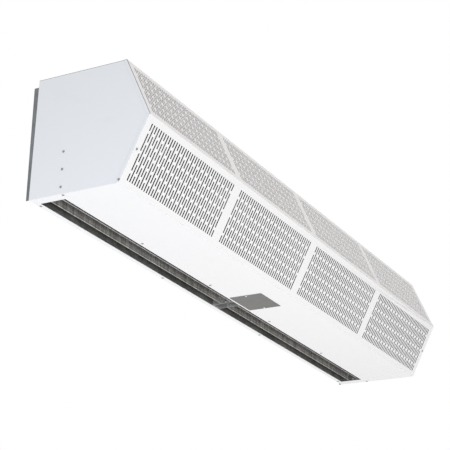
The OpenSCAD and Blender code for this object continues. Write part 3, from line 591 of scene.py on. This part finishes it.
# A motor shell with rolled bands, a bell and a boss at each end, and four bolts in each bell
def motorMesh(x):
    m = motorLook
    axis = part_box("left_shaft")
    y, z = (axis[0].y + axis[1].y) / 2, (axis[0].z + axis[1].z) / 2
    half, radius = m["length"] / 2, m["radius"]
    bell = half - m["bossLength"]
    shoulder = bell - m["bellLength"]
    rib = radius - m["ribDepth"]
    side = [(m["bore"], half), (m["bossRadius"] - m["bossChamfer"], half),
            (m["bossRadius"], half - m["bossChamfer"]),
            (m["bossRadius"], bell + m["bossFillet"]),
            (m["bossRadius"] + m["bossFillet"], bell),
            (radius - m["bellLength"] - m["bellFlat"], bell)]
    for k in range(m["bellSteps"] + 1):
        a = math.radians(90 * k / m["bellSteps"])
        side.append((radius - m["bellLength"] + (m["bellLength"] - m["ribDepth"]) * math.sin(a),
                     shoulder + m["bellLength"] * math.cos(a)))
    for edge in [shoulder - inward for inward in m["bandsFromBell"]] + [m["middleBand"]]:
        far = edge - m["bandWidth"]
        side += [(rib, edge), (radius, edge - m["seam"]), (radius, far), (rib, far - m["seam"])]
    side = [(r * mm, h * mm) for r, h in side]
    bm = bmesh.new()
    turned(bm, side + [(r, -h) for r, h in side[::-1]] + [side[0]], m["segments"])
    bmesh.ops.remove_doubles(bm, verts=bm.verts, dist=1e-7)
    shell = meshFrom(bm, "shell", smoothAngle=28)
    shell.transform(stood((x, y, z), Vector((1, 0, 0))))
    bm = bmesh.new()
    r, h = m["boltRadius"] * mm, m["boltHeight"] * mm
    narrow, low = m["boltChamfer"]
    turned(bm, [(0, -h), (r, -h), (r, h * low), (r * narrow, h), (0, h)], segments=6)
    places = []
    for end in (-1, 1):
        for degrees in (45, 135, 225, 315):
            a = math.radians(degrees)
            places.append((Vector((x + end * bell * mm, y + m["boltRing"] * mm * math.cos(a),
                                   z + m["boltRing"] * mm * math.sin(a))),
                           Vector((end, 0, 0)), 0))
    bolts = spread(meshFrom(bm, "bolt", smoothAngle=20), places, "bolts")
    bm = bmesh.new()
    bm.from_mesh(shell)
    bm.from_mesh(bolts)
    return meshFrom(bm, "motor", smoothAngle=28)


for side in ("left", "right"):
    low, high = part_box(side + "_motor")
    addPiece(side + "_motor_shell", motorMesh((low.x + high.x) / 2), "motor_paint", "cabinet",
             side + "_motor")
print("motors: two shells with bells and bolts")

# places and sizes in metres, the lamps' spread in degrees and their power in watts
studio = {"floorHeight": -2.5, "floorSize": 30, "floorColour": (0.86, 0.86, 0.86),
          "floorShade": (0.84, 0.84, 0.845), "skyStrength": 0.62,
          "lamps": {
              "low front lamp": {"place": (-1.6, -4.6, -2.0), "target": (0.1, -0.25, -0.1),
                                 "size": (3.6, 0.9), "spread": 100, "power": 25,
                                 "tint": (1.0, 0.985, 0.98)},
              "floor lamp": {"place": (0.2, -0.5, -2.4), "target": (0.2, -0.5, 0),
                             "size": (4.2, 2.4), "spread": 180, "power": 38.5,
                             "tint": (1.0, 0.99, 0.985)},
              "left lamp": {"place": (-2.6, -0.35, -0.95), "target": (-1.06, -0.2, -0.2),
                            "size": (1.2, 1.2), "spread": 180, "power": 13.3,
                            "tint": (0.77, 0.87, 1.0)},
              "upper front lamp": {"place": (-0.6, -3.6, 2.6), "target": (0, -0.35, 0),
                                   "size": (2.2, 2.2), "spread": 180, "power": 20,
                                   "tint": (1.0, 0.83, 0.64)}}}


def floorPaint(bench):
    return {"Base Color": bench.blend(bench.noise(0.8, 3) * 0.3, studio["floorColour"],
                                      studio["floorShade"]),
            "Roughness": 0.8 + bench.noise(40, 2) * 0.1}


def addFloor():
    bm = bmesh.new()
    bmesh.ops.create_grid(bm, x_segments=1, y_segments=1, size=studio["floorSize"])
    bmesh.ops.translate(bm, verts=bm.verts, vec=(0, 0, studio["floorHeight"]))
    mesh = bpy.data.meshes.new("floor")
    bm.to_mesh(mesh)
    bm.free()
    mesh.materials.append(finish("pale floor", floorPaint))
    floor = bpy.data.objects.new("floor", mesh)
    scene.collection.objects.link(floor)


# The world lights softly, and shows plain white where the camera or a reflection sees it
def addWorld():
    world = bpy.data.worlds.new("studio")
    world.use_nodes = True
    scene.world = world
    bench = Bench(world.node_tree)
    path = bench.node("ShaderNodeLightPath", {}, {})
    straight, glossy, through = (Wire(bench, path.outputs[name]) for name in (
        "Is Camera Ray", "Is Glossy Ray", "Is Transmission Ray"))
    seen = bench.maths("MAXIMUM", straight, bench.maths("MAXIMUM", glossy, through))
    strength = seen * (1 - studio["skyStrength"]) + studio["skyStrength"]
    sky = bench.wire("ShaderNodeBackground", {}, {"Color": (1, 1, 1, 1), "Strength": strength})
    bench.node("ShaderNodeOutputWorld", {}, {"Surface": sky})


def addLamps():
    for name, look in studio["lamps"].items():
        data = bpy.data.lights.new(name, "AREA")
        data.shape = "RECTANGLE"
        data.size, data.size_y = look["size"]
        data.energy, data.color = look["power"], look["tint"]
        data.spread = math.radians(look["spread"])
        lamp = bpy.data.objects.new(name, data)
        scene.collection.objects.link(lamp)
        lamp.location = look["place"]
        aim = Vector(look["target"]) - Vector(look["place"])
        lamp.rotation_euler = aim.to_track_quat("-Z", "Y").to_euler()
        lamp.visible_camera = False


view = {"place": (-4.1192, -2.4439, -1.8893), "azimuth": -59.91, "elevation": -21.70,
        "roll": 2.13, "focalPixels": 1443.95, "framePixels": 450, "sensor": 36,
        "clip": (0.05, 100)}


# The camera as it was fitted to the photo
def addCamera():
    data = bpy.data.cameras.new("view")
    data.sensor_width = view["sensor"]
    data.lens = view["focalPixels"] / view["framePixels"] * view["sensor"]
    data.clip_start, data.clip_end = view["clip"]
    a, e, roll = (math.radians(view[k]) for k in ("azimuth", "elevation", "roll"))
    back = Vector((math.sin(a) * math.cos(e), -math.cos(a) * math.cos(e), math.sin(e)))
    right = (-back).cross(Vector((0, 0, 1))).normalized()
    up = right.cross(-back)
    turn = Matrix((math.cos(roll) * right + math.sin(roll) * up,
                   math.cos(roll) * up - math.sin(roll) * right, back)).transposed()
    camera = bpy.data.objects.new("view", data)
    scene.collection.objects.link(camera)
    camera.matrix_world = Matrix.Translation(view["place"]) @ turn.to_4x4()
    scene.camera = camera


addFloor()
addWorld()
addLamps()
addCamera()
scene.view_settings.view_transform = "Standard"
print("studio: floor, world, lamps and camera")
